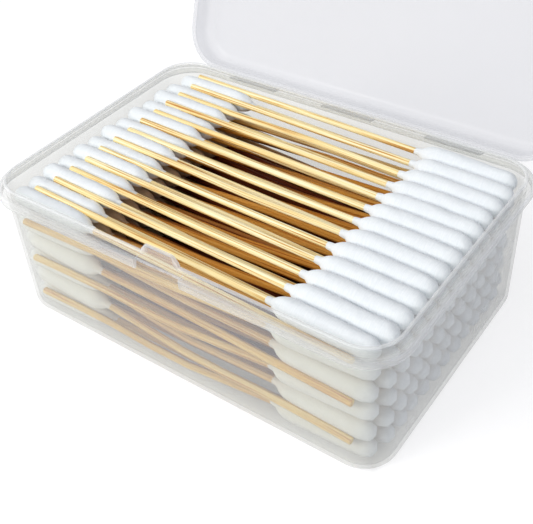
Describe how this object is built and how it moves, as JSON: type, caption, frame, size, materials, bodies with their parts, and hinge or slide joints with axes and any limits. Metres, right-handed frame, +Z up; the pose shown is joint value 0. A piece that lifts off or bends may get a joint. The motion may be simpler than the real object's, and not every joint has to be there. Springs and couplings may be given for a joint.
{
  "type": "cotton swab box",
  "caption": "Translucent storage box packed with layers of long cotton swabs on bamboo sticks, its shallow lid standing open on moulded hinge straps.",
  "frame": {"origin": "centre of the underside, on the surface the box stands on", "axes": "+X along the long side and the swabs, -Y towards the front with the latch tab, +Z up"},
  "size_m": [0.174, 0.1704, 0.1694],
  "materials": {
    "polypropylene": "satin",
    "cotton": "matte",
    "bamboo": "satin"
  },
  "bodies": {
    "base": {"box_base": "polypropylene", "cotton_heads_left_1": "cotton", "cotton_heads_right_1": "cotton", "cotton_heads_left_2": "cotton", "cotton_heads_right_2": "cotton", "cotton_heads_left_3": "cotton", "cotton_heads_right_3": "cotton", "cotton_heads_left_4": "cotton", "cotton_heads_right_4": "cotton", "cotton_heads_left_5": "cotton", "cotton_heads_right_5": "cotton", "cotton_heads_left_6": "cotton", "cotton_heads_right_6": "cotton", "bamboo_sticks_left_1": "bamboo", "bamboo_sticks_right_1": "bamboo", "bamboo_sticks_left_2": "bamboo", "bamboo_sticks_right_2": "bamboo", "bamboo_sticks_left_3": "bamboo", "bamboo_sticks_right_3": "bamboo", "bamboo_sticks_left_4": "bamboo", "bamboo_sticks_right_4": "bamboo", "bamboo_sticks_left_5": "bamboo", "bamboo_sticks_right_5": "bamboo", "bamboo_sticks_left_6": "bamboo", "bamboo_sticks_right_6": "bamboo"},
    "lid": {"box_lid": "polypropylene"}
  },
  "joints": [
    {"name": "lid_hinge", "type": "hinge", "parent": "base", "child": "lid", "pos_m": [0, 0.06055, 0.0544], "axis": [-1, 0, 0], "range_deg": [-108, 72]}
  ]
}
